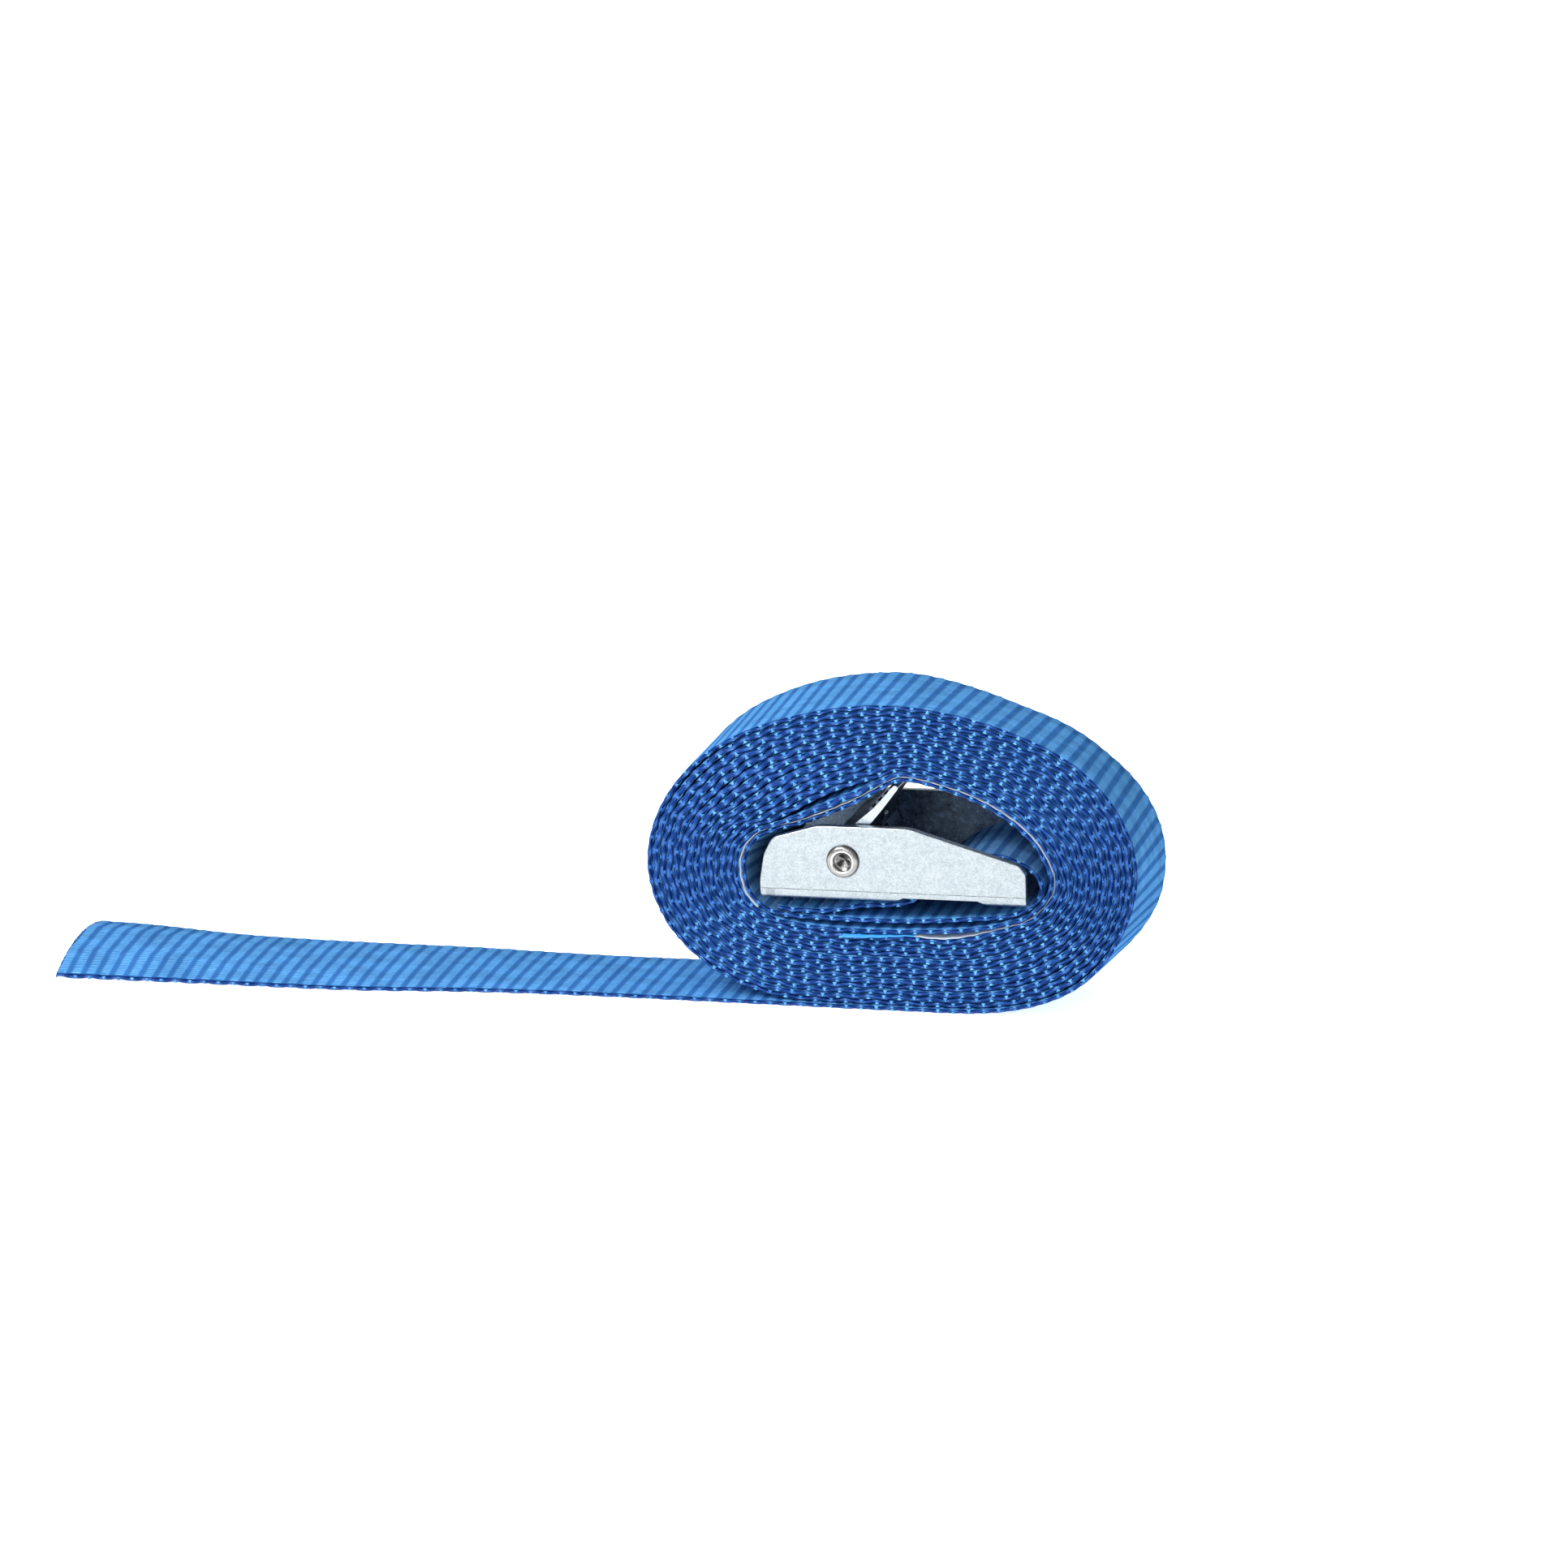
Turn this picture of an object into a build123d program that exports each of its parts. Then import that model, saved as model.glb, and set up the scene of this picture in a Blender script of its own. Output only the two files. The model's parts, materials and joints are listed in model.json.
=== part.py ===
from build123d import *
import os
from math import atan2, cos, degrees, radians, sin

# A 25 mm cam-buckle lashing strap, rolled up on its edge round its own buckle, with the
# free end lying flat towards -X. Millimetres. +X runs along the object, Y is the width of
# the webbing and +Z is up. The origin is at the middle of the outline, on the surface.

# Webbing
WEB_WIDTH = 25.0
WEB_THICK = 0.95
LABEL_WIDTH = 25.0
LABEL_THICK = 0.2
THREAD_DIA = 0.5

# Buckle frame: one bent channel of sheet steel
SHEET = 1.5
FRAME_WIDTH = 29.6
BEND_OUTER = 1.6
BEND_INNER = 0.5
SHEARED_EDGE = 0.3
FOOT_RADIUS = 0.7      # at the ends of the base
PIVOT_X = 51.9
PIVOT_Z = 29.5
BASE_DROP = 7.75       # pivot down to the underside of the base
CHEEK_RISE = 6.65      # pivot up to the flat top of the cheeks
FRAME_LEFT = -16.2     # from the pivot
FRAME_RIGHT = 34.65
CHEEK_INSIDE = FRAME_WIDTH / 2 - SHEET
SLOT_LEFT = 11.2       # the slot in the base, from the pivot
SLOT_RIGHT = 25.4
NOTCH_HEIGHT = 1.0     # how far the slot's sloped ends cut into the base and bends
NOTCH_SLOPE = 2.1

# Rivet
SHANK_DIA = 4.0
HEAD_DIA = 7.0
ROLLED_DIA = 6.3
HEAD_HEIGHT = 0.9
LIP_DIA = 3.5          # inner edge of the rolled end
DIMPLE_DIA = 2.9
DIMPLE_DEPTH = 1.4     # the cone's tip, from the cheek's face

# Cam lever
LEVER_WIDTH = 25.2
BORE_DIA = 4.1
HUB_RADIUS = 4.6
POCKET_HALF = 4.3      # half of the gap for the spring
POCKET_RADIUS = 4.25
POCKET_TOP = 2.6       # the pocket is open below this height over the pivot
TOOTH_COUNT = 5
TOOTH_PITCH = 12.0     # degrees
TOOTH_FIRST = -126.0
TOOTH_TIP = 6.05       # tip radius straight below the pivot
TOOTH_GROWTH = 0.018   # mm more for each degree towards -X
TOOTH_DEPTH = 0.75
GRIP_RIBS = 4
RIB_WIDTH = 20.0
RIB_RADIUS = 0.45
RIB_FIRST = (4.6, 8.9)
RIB_LAST = (8.2, 12.65)

# Torsion spring
WIRE_DIA = 1.0
SPRING_RADIUS = 3.25
SPRING_PITCH = 1.15
SPRING_TURNS = 4
BASE_LEG = 7.6
BASE_LEG_ANGLE = 200.0
LEVER_LEG = 8.0
LEVER_LEG_ANGLE = 73.0

# Rolled strap
TAIL_TOUCH = 48.0      # where the tail goes in under the roll
# The tail's sections, as x, sideways shift and rise of the back edge
TAIL_SECTIONS = [
    (-106.6, -4.4, 3.7),
    (-95.0, -4.2, 3.3),
    (-80.0, -4.0, 2.3),
    (-65.0, -3.9, 1.8),
    (-44.0, -3.4, 1.5),
    (-28.0, -1.6, 0.9),
    (-12.0, -0.4, 0.2),
    (20.0, 0.0, 0.0),
]
ROLL_FLOOR_END = 70.0
PLY_GAP = 0.1          # air between a ply and the label on it
LABEL_UNTIL = 0.91     # how far round the first turn the label reaches

# The webbing's routes, as x, z through the middle of its thickness
ANCHOR_ROUTE = [
    (38.2, 19.2),
    (43.5, 18.85),
    (48.0, 19.0),
    (52.8, 19.95),
    (58.7, 20.55),
    (63.9, 21.35),
    (68.6, 26.0),
    (73.7, 29.3),
    (78.5, 30.95),
    (84.3, 29.9),
    (88.0, 27.6),
    (89.2, 24.6),
    (87.2, 21.5),
    (83.8, 19.7),
    (76.0, 18.5),
    (68.3, 17.85),
    (60.5, 17.5),
    (52.5, 17.45),
    (44.9, 17.6),
    (38.6, 18.05),
    (35.2, 19.3),
]
FIRST_TURN_ROUTE = [
    (34.9, 19.5),
    (32.8, 22.0),
    (31.9, 25.1),
    (31.9, 28.3),
    (33.4, 31.6),
    (36.8, 34.0),
    (41.5, 35.3),
    (47.1, 37.25),
    (53.4, 40.0),
    (58.8, 43.05),
    (62.3, 44.75),
    (66.2, 44.5),
    (69.0, 43.85),
    (76.6, 41.4),
    (82.6, 38.1),
    (87.2, 34.1),
    (90.1, 29.4),
    (91.0, 26.0),
    (89.0, 21.9),
    (85.6, 19.0),
    (83.7, 18.3),
    (76.0, 16.5),
    (68.2, 15.8),
    (60.5, 15.45),
    (52.6, 15.4),
    (44.8, 15.75),
    (38.5, 16.6),
]
ROLL_CORNER = (34.5, 17.4)
ROLL_CENTRE = (61.5, 29.5)
# The roll's outline at its front edge, and how much further out its back edge stands there
ROLL_OUTLINE = [
    (ROLL_FLOOR_END, 0, 0),
    (81.1, 0.75, 0.6),
    (95.9, 6.4, 1.9),
    (104.7, 17.7, 2.1),
    (107.05, 29.9, 0.2),
    (98.6, 46.3, -2.5),
    (81.65, 55.4, -2.2),
    (59.1, 59.0, 0.4),
    (40.9, 56.1, 1.3),
    (26.7, 49.8, 1.0),
    (15.5, 36.9, 0.1),
    (13.1, 26.1, 0),
    (18.8, 11.9, -0.4),
    (29.6, 4.15, -0.5),
    (38.5, 1.6, -0.2),
    (TAIL_TOUCH, WEB_THICK + 0.05, 0),
]

# Seam of the anchor loop
SEAM_ROWS = [40.0, 43.0, 46.0, 49.0]
SEAM_STITCHES = 7
STITCH_PITCH = 3.3
STITCH_LENGTH = 2.6
STITCH_LOW = 16.85
STITCH_HIGH = 19.75

PIVOT = Location((PIVOT_X, 0, PIVOT_Z))


def side_face(outline):
    """A face in the XZ plane from an outline drawn as x, z."""
    return Plane.XZ * make_face(outline)


def slab(face, width, middle=0.0):
    """A side face made into a solid of the given width in Y."""
    return Pos(0, middle, 0) * extrude(face, width / 2, both=True)


def channel():
    """The bent channel before its ends and slot are cut."""
    section = Rectangle(FRAME_WIDTH, 2 * BASE_DROP)
    section = fillet(section.vertices().group_by(Axis.Y)[0], BEND_OUTER)
    inner = Pos(0, SHEET) * Rectangle(2 * CHEEK_INSIDE, 2 * BASE_DROP)
    inner = fillet(inner.vertices().group_by(Axis.Y)[0], BEND_INNER)
    length = FRAME_RIGHT - FRAME_LEFT
    return Pos(FRAME_LEFT, 0, 0) * extrude(Plane.YZ * (section - inner), length)


def cheek_outline():
    """The side outline that both cheeks are cut to."""
    corners = [
        (FRAME_LEFT, -BASE_DROP - 1),
        (FRAME_LEFT, -4.2),
        (FRAME_LEFT + 0.9, 0.8),
        (FRAME_LEFT + 2.6, 4.05),
        (-4.7, CHEEK_RISE),
        (12.6, CHEEK_RISE),
        (FRAME_RIGHT - 1.2, 0.35),
        (FRAME_RIGHT, -1.2),
        (FRAME_RIGHT, -BASE_DROP - 1),
    ]
    radii = [0, 8, 6, 2.6, 9, 9, 2.2, 1.6, 0]
    return FilletPolyline(*corners, radius=radii, close=True)


def buckle_frame():
    """The channel with its cheeks, anvil, slot, end bar and rivet holes."""
    frame = channel() & slab(side_face(cheek_outline()), FRAME_WIDTH + 2)
    frame -= rounded_slot()
    low = -BASE_DROP
    notch = Polyline(
        (SLOT_LEFT - NOTCH_SLOPE, low - 0.1),
        (SLOT_LEFT, low + NOTCH_HEIGHT),
        (SLOT_RIGHT, low + NOTCH_HEIGHT),
        (SLOT_RIGHT + NOTCH_SLOPE, low - 0.1),
        close=True,
    )
    frame -= slab(side_face(notch), FRAME_WIDTH + 2)
    frame = fillet(rim_edges(frame), SHEARED_EDGE)
    frame &= rounded_foot()
    hole = Rot(90, 0, 0) * Cylinder(SHANK_DIA / 2, FRAME_WIDTH + 2)
    return PIVOT * (frame - hole)


def rounded_foot():
    """A tall rounded block that takes the sharp corners off the ends of the base."""
    length = FRAME_RIGHT - FRAME_LEFT
    height = 2 * (BASE_DROP + CHEEK_RISE)
    side = RectangleRounded(length, height, FOOT_RADIUS, align=(Align.MIN, Align.MIN))
    return slab(Plane.XZ * Pos(FRAME_LEFT, -BASE_DROP) * side, FRAME_WIDTH + 2)


def rim_edges(frame):
    """The cheeks' outer edges above the bends, which the press rounds as it shears them."""
    rim = []
    for edge in frame.edges():
        middle = edge.center()
        outside = abs(middle.Y) > FRAME_WIDTH / 2 - 0.01
        if outside and middle.Z > BEND_OUTER - BASE_DROP + 0.1:
            rim.append(edge)
    return rim


def rounded_slot():
    """The slot through the base, which the webbing's loop passes."""
    length = SLOT_RIGHT - SLOT_LEFT
    outline = RectangleRounded(length, 2 * CHEEK_INSIDE, 1.5)
    middle = (SLOT_LEFT + SLOT_RIGHT) / 2
    return Pos(middle, 0, -BASE_DROP - 1) * extrude(outline, SHEET + 1.4)


def pivot_rivet():
    """A semi-tubular rivet: formed head at the back, rolled end at the front."""
    half = FRAME_WIDTH / 2
    end = half + HEAD_HEIGHT
    shank = SHANK_DIA / 2
    head = HEAD_DIA / 2
    rolled = ROLLED_DIA / 2
    lip = LIP_DIA / 2
    dimple = DIMPLE_DIA / 2
    with BuildPart() as rivet:
        with BuildSketch(Plane.XY):
            with BuildLine():
                Polyline(
                    (0, end),
                    (head - 1.2, end),
                )
                ThreePointArc((head - 1.2, end), (head - 0.3, end - 0.3), (head, half))
                Polyline((head, half), (shank, half), (shank, -half), (rolled, -half))
                ThreePointArc((rolled, -half), (rolled - 0.25, -end + 0.25), (rolled - 0.8, -end))
                ThreePointArc((rolled - 0.8, -end), (lip + 0.12, -end + 0.1), (lip, -half - 0.35))
                Polyline((lip, -half - 0.35), (dimple, -half - 0.15), (0, DIMPLE_DEPTH - half))
                Line((0, DIMPLE_DEPTH - half), (0, end))
            make_face()
        revolve(axis=Axis.Y)
    return PIVOT * rivet.part


def lever_outline():
    """The thumb plate's side outline, from the hub to the rounded tip."""
    corners = [
        (-2.9, 3.55),
        (0.5, 5.5),
        (5.7, 9.9),
        (9.6, 14.35),
        (10.55, 13.95),
        (6.9, 9.2),
        (4.15, 5.95),
        (3.7, 2.7),
        (0, 0),
    ]
    radii = [0, 6, 14, 0.5, 0.45, 14, 3, 0, 0]
    return FilletPolyline(*corners, radius=radii, close=True)


def tooth(angle):
    """One saw tooth on the cam, at an angle from +X."""
    tip_radius = TOOTH_TIP - TOOTH_GROWTH * (angle + 90)
    root_radius = tip_radius - TOOTH_DEPTH

    def polar(radius, turn):
        return (radius * cos(radians(turn)), radius * sin(radians(turn)))

    outline = Polyline(
        (0, 0),
        polar(root_radius, angle - TOOTH_PITCH * 0.62),
        polar(tip_radius, angle),
        polar(root_radius, angle + TOOTH_PITCH * 0.42),
        close=True,
    )
    return side_face(outline)


def cam_lever():
    """The cast lever: two hubs, a ribbed thumb plate and a toothed cam."""
    side = side_face(lever_outline()) + Rot(90, 0, 0) * Circle(HUB_RADIUS)
    for number in range(TOOTH_COUNT):
        side += tooth(TOOTH_FIRST + number * TOOTH_PITCH)
    lever = slab(side, LEVER_WIDTH)
    pocket = Rot(90, 0, 0) * Cylinder(POCKET_RADIUS, 2 * POCKET_HALF)
    below = Pos(0, 0, POCKET_TOP - 6) * Box(16, 2 * POCKET_HALF, 12)
    lever -= pocket + below
    lever -= Rot(90, 0, 0) * Cylinder(BORE_DIA / 2, LEVER_WIDTH + 2)
    for number in range(GRIP_RIBS):
        lever += grip_rib(number)
    return PIVOT * lever


def grip_rib(number):
    """One raised rib across the thumb plate."""
    along = number / (GRIP_RIBS - 1)
    x = RIB_FIRST[0] + along * (RIB_LAST[0] - RIB_FIRST[0])
    z = RIB_FIRST[1] + along * (RIB_LAST[1] - RIB_FIRST[1])
    return Pos(x, 0, z) * Rot(90, 0, 0) * Cylinder(RIB_RADIUS, RIB_WIDTH)


def torsion_spring():
    """Coils round the rivet, one leg on the base and one under the thumb plate."""
    turned = LEVER_LEG_ANGLE - (BASE_LEG_ANGLE - 180)
    height = SPRING_PITCH * (SPRING_TURNS + turned / 360)
    helix = Helix(SPRING_PITCH, height, SPRING_RADIUS)
    wire = Circle(WIRE_DIA / 2)
    coil = sweep(Plane(origin=helix @ 0, z_dir=helix % 0) * wire, path=helix)
    base_leg = extrude(Plane(origin=helix @ 0, z_dir=-(helix % 0)) * wire, BASE_LEG)
    lever_leg = extrude(Plane(origin=helix @ 1, z_dir=helix % 1) * wire, LEVER_LEG)
    spring = coil + base_leg + lever_leg
    upright = Rot(90, 0, 0) * Rot(0, 0, BASE_LEG_ANGLE - 270) * spring
    return PIVOT * Pos(0, height / 2, 0) * upright


def shifted_points(route, shift, until=1.0):
    """Points beside a smooth line through the route, to its left by the shift."""
    middle = Spline(*route)
    steps = 3 * (len(route) - 1)
    points = []
    for step in range(steps + 1):
        place = until * step / steps
        point = middle @ place
        heading = middle % place
        points.append((point.X - heading.Y * shift, point.Y + heading.X * shift))
    return points


def band(route, thick, width, shift=0.0, until=1.0):
    """A flat band that follows the route, or lies beside it."""
    left = Spline(*shifted_points(route, shift + thick / 2, until))
    right = Spline(*shifted_points(route, shift - thick / 2, until))
    ends = [Line(left @ 0, right @ 0), Line(left @ 1, right @ 1)]
    return slab(side_face([left, right] + ends), width)


def strap_tail():
    """The free end: flat under the roll, then bowed to the front, with its back edge raised."""
    sections = []
    for x, shift, rise in TAIL_SECTIONS:
        lean = degrees(atan2(rise, WEB_WIDTH))
        corner = Pos(x, shift - WEB_WIDTH / 2, 0)
        sections.append(corner * Rot(lean, 0, 0) * web_section())
    flat = extrude(web_section(), TAIL_TOUCH - x)
    return loft(sections, ruled=True) + corner * flat


def web_section():
    """The webbing's section in the YZ plane, with its lower front edge at the origin."""
    return Plane.YZ * Rectangle(WEB_WIDTH, WEB_THICK, align=(Align.MIN, Align.MIN))


def roll_side(skewed):
    """The roll's side face, as it is at the front edge or, skewed, at the back edge."""
    outline = []
    for x, z, out in ROLL_OUTLINE:
        arm = Vector(x, z) - Vector(ROLL_CENTRE)
        moved = arm.normalized() * out if skewed else Vector(0, 0)
        outline.append((x + moved.X, z + moved.Y))
    round_side = Spline(*outline, tangents=[(1, 0), (1, 0)])
    step = Line(outline[-1], (TAIL_TOUCH, 0))
    floor = Line((TAIL_TOUCH, 0), outline[0])
    return side_face([round_side, step, floor])


def strap_roll():
    """The wound turns as one ring, from the label out to the last turn."""
    front = Pos(0, -WEB_WIDTH / 2, 0) * roll_side(False)
    back = Pos(0, WEB_WIDTH / 2, 0) * roll_side(True)
    clear = WEB_THICK / 2 + LABEL_THICK + 2.5 * PLY_GAP
    hollow = shifted_points(FIRST_TURN_ROUTE, clear)[2:] + [ROLL_CORNER]
    inner = slab(side_face(Spline(*hollow, periodic=True)), WEB_WIDTH + 2)
    return loft([front, back]) - inner


def loop_stitching():
    """Rows of thread stitches through both plies of the anchor loop's seam."""
    stitches = []
    middle = (STITCH_LOW + STITCH_HIGH) / 2
    height = STITCH_HIGH - STITCH_LOW
    for x in SEAM_ROWS:
        for number in range(SEAM_STITCHES):
            y = (number - (SEAM_STITCHES - 1) / 2) * STITCH_PITCH
            ring = Box(THREAD_DIA, STITCH_LENGTH, height)
            ring -= Box(2 * THREAD_DIA, STITCH_LENGTH - 2 * THREAD_DIA, height - 2 * THREAD_DIA)
            stitches.append(Pos(x, y, middle) * ring)
    return Compound(stitches)


def main():
    clear = WEB_THICK / 2 + PLY_GAP + LABEL_THICK / 2
    parts = {
        "buckle_frame": buckle_frame(),
        "pivot_rivet": pivot_rivet(),
        "cam_lever": cam_lever(),
        "torsion_spring": torsion_spring(),
        "strap_anchor_loop": band(ANCHOR_ROUTE, WEB_THICK, WEB_WIDTH),
        "strap_first_turn": band(FIRST_TURN_ROUTE, WEB_THICK, WEB_WIDTH),
        "strap_roll": strap_roll(),
        "strap_tail": strap_tail(),
        "label_tape": band(FIRST_TURN_ROUTE, LABEL_THICK, LABEL_WIDTH, clear, LABEL_UNTIL),
        "loop_stitching": loop_stitching(),
    }
    os.makedirs("parts", exist_ok=True)
    for name, shape in parts.items():
        export_step(shape, f"parts/{name}.step")


main()
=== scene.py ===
import json
import math

import bpy
import numpy as np
from mathutils import Matrix, Vector


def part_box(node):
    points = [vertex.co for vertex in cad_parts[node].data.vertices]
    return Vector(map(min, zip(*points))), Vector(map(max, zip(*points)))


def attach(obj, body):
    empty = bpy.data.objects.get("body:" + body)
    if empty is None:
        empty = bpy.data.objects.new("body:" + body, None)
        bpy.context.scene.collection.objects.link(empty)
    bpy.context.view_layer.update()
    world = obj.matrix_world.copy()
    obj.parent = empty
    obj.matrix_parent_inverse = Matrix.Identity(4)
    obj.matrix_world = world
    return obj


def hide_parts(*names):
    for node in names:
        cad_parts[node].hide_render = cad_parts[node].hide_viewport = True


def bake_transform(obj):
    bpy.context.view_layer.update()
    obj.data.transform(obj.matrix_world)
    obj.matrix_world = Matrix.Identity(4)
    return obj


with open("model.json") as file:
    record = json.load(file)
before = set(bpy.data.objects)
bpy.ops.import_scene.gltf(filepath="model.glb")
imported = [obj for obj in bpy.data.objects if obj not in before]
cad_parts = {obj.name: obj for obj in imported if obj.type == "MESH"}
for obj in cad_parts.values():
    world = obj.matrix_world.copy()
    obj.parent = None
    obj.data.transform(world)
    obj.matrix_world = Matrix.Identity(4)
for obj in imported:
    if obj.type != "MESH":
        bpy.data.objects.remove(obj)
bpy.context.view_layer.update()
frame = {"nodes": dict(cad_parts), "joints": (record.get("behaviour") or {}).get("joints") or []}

MM = 0.001
STILL = "strap_and_frame"

# ---------------------------------------------------------------- the strap's sizes, in mm
WEB_WIDTH = 25.0
WEB_THICK = 0.95
HALF_THICK = WEB_THICK / 2
RIB_PITCH = 2.95            # from one cross rib to the next
STATIONS_PER_RIB = 7
STEP = RIB_PITCH / STATIONS_PER_RIB
GROOVE_HALF = 0.37          # half thickness in the groove between ribs
CREST_HALF = 0.49           # half thickness on a rib's crest
FULLEST = 1.42              # how much thicker the webbing gets where the turns lie loosely
SNUG_ROOM = 1.03            # room from one turn to the next that leaves the webbing as it is
TURNS = 14                  # turns outside the label
LABEL_GAP = 0.15            # room that the label takes between the first turn and the next
LABEL_SHARE = 0.917         # how much of the first turn the label covers
LABEL_STEP = 0.5            # from one row of the label's points to the next
TAIL_LEFT = -106.6          # where the free end lies
TAIL_TOUCH = 48.0           # where the roll's outermost turn meets the floor
FLAT_UNDERSIDE = 70.0       # the roll lies flat on the floor up to here
ROLL_CENTRE = np.array([61.5, 29.5])

# The routes repeat the CAD model's, as x, z through the middle of the webbing
ANCHOR_ROUTE = [
    (38.2, 19.2), (43.5, 18.85), (48.0, 19.0), (52.8, 19.95), (58.7, 20.55), (63.9, 21.35),
    (68.6, 26.0), (73.7, 29.3), (78.5, 30.95), (84.3, 29.9), (88.0, 27.6), (89.2, 24.6),
    (87.2, 21.5), (83.8, 19.7), (76.0, 18.5), (68.3, 17.85), (60.5, 17.5), (52.5, 17.45),
    (44.9, 17.6), (38.6, 18.05), (35.2, 19.3),
]
FIRST_TURN_ROUTE = [
    (34.9, 19.5), (32.8, 22.0), (31.9, 25.1), (31.9, 28.3), (33.4, 31.6), (36.8, 34.0),
    (41.5, 35.3), (47.1, 37.25), (53.4, 40.0), (58.8, 43.05), (62.3, 44.75), (66.2, 44.5),
    (69.0, 43.85), (76.6, 41.4), (82.6, 38.1), (87.2, 34.1), (90.1, 29.4), (91.0, 26.0),
    (89.0, 21.9), (85.6, 19.0), (83.7, 18.3), (76.0, 16.5), (68.2, 15.8), (60.5, 15.45),
    (52.6, 15.4), (44.8, 15.75), (38.5, 16.6),
]
# The roll's outline as x, z and how much further out its back edge stands than its front edge
ROLL_OUTLINE = [
    (60.0, 0.0, 0.0), (70.0, 0.0, 0.0), (81.1, 0.75, 0.6), (95.9, 6.4, 1.9), (104.7, 17.7, 2.1),
    (107.05, 29.9, 0.2), (98.6, 46.3, -2.5), (81.65, 55.4, -2.2), (59.1, 59.0, 0.4),
    (40.9, 56.1, 1.3), (26.7, 49.8, 1.0), (15.5, 36.9, 0.1), (13.1, 26.1, 0.0),
    (18.8, 11.9, -0.4), (29.6, 4.15, -0.5), (38.5, 1.6, -0.2), (TAIL_TOUCH, 1.0, 0.0),
    (53.0, 1.0, 0.0),
]
# The tail from its free end, as x, sideways shift, rise of the back edge and rise of the middle
TAIL_SECTIONS = [
    (TAIL_LEFT, -4.4, 3.7, 2.5), (-95.0, -4.2, 3.3, 2.1), (-80.0, -4.0, 2.3, 1.4),
    (-65.0, -3.9, 1.8, 0.9), (-44.0, -3.4, 1.5, 0.6), (-28.0, -1.6, 0.9, 0.4),
    (-12.0, -0.4, 0.2, 0.3), (20.0, 0.0, 0.0, 0.1), (TAIL_TOUCH, 0.0, 0.0, 0.0),
]
# Places round the roll, as degrees turned from the first turn's end: the middle and half the reach
UPPER_GAP = (72, 45)
LOWER_GAP = (266, 31)
LABEL_BULGE = (266, 29)
INWARD_LEAN = (31, 30)
# The turns over which the two gaps open, counted from the first turn's start
UPPER_GAP_TURNS = (1.6, 1.8)
LOWER_GAP_TURNS = (1.4, 1.6)
# How far the gaps open at the front edge, and how much of that the back edge takes back
UPPER_OPENS, UPPER_CLOSES = 1.3, 1.2
LOWER_OPENS, LOWER_CLOSES = 1.05, 0.9
LEAN = 4.7                  # how far the first turn's back edge leans over the buckle's left end


# ---------------------------------------------------------------- lines
def smooth_line(points, step):
    """Points about a step apart on a natural cubic spline through the given points."""
    knots = np.array(points, float)
    spans = np.linalg.norm(np.diff(knots, axis=0), axis=1)
    places = np.concatenate([[0.0], np.cumsum(spans)])
    count = len(knots)
    system = np.eye(count)
    target = np.zeros_like(knots)
    slopes = np.diff(knots, axis=0) / spans[:, None]
    for i in range(1, count - 1):
        system[i, i - 1:i + 2] = (spans[i - 1], 2 * (spans[i - 1] + spans[i]), spans[i])
        target[i] = 6 * (slopes[i] - slopes[i - 1])
    bend = np.linalg.solve(system, target)
    fine = np.linspace(0, places[-1], int(places[-1] / step) + 2)
    i = np.clip(np.searchsorted(places, fine, side="right") - 1, 0, count - 2)
    h = spans[i][:, None]
    a = ((places[i + 1] - fine) / spans[i])[:, None]
    b = 1 - a
    curve = a * knots[i] + b * knots[i + 1]
    curve += ((a**3 - a) * bend[i] + (b**3 - b) * bend[i + 1]) * h * h / 6
    return curve


def even_line(line, step):
    """The same line with its points exactly a step apart."""
    along = np.concatenate([[0.0], np.cumsum(np.linalg.norm(np.diff(line, axis=0), axis=1))])
    places = np.arange(0, along[-1], step)
    return np.stack([np.interp(places, along, line[:, k]) for k in range(2)], axis=1)


def softened(line, reach):
    """The line with small kinks rounded off over a few points, its ends kept."""
    weights = np.hanning(2 * reach + 3)[1:-1]
    weights /= weights.sum()
    padded = np.concatenate([
        2 * line[0] - line[reach:0:-1],
        line,
        2 * line[-1] - line[-2:-reach - 2:-1],
    ])
    return np.stack([np.convolve(padded[:, k], weights, "valid") for k in range(2)], axis=1)


def smoothed(values, reach):
    """Values averaged over their neighbours, with the end values carried on."""
    weights = np.hanning(2 * reach + 3)[1:-1] / (reach + 1)
    return np.convolve(np.pad(values, reach, mode="edge"), weights, "valid")


def headings(line):
    """Unit tangents, and the normals on their left."""
    tangent = np.gradient(line, axis=0)
    tangent /= np.linalg.norm(tangent, axis=1)[:, None]
    return tangent, np.stack([-tangent[:, 1], tangent[:, 0]], axis=1)


def bearing(x, z):
    """The direction of a point from the roll's centre, in degrees."""
    return math.degrees(math.atan2(z - ROLL_CENTRE[1], x - ROLL_CENTRE[0]))


START = bearing(*FIRST_TURN_ROUTE[-1])


def polar(line):
    """Degrees turned clockwise from the first turn's end, and distances from the roll's centre."""
    arm = line - ROLL_CENTRE
    angle = (START - np.degrees(np.arctan2(arm[:, 1], arm[:, 0]))) % 360
    return angle, np.linalg.norm(arm, axis=1)


def hump(angle, centre, half):
    """A smooth rise from 0 to 1 and back, centred on an angle, in degrees."""
    away = (angle - centre + 180) % 360 - 180
    return np.where(abs(away) < half, np.cos(away / half * math.pi / 2) ** 2, 0.0)


def ramp(value, low, high):
    """0 below low, 1 above high, smooth between."""
    t = np.clip((value - low) / (high - low), 0, 1)
    return t * t * (3 - 2 * t)


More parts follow.
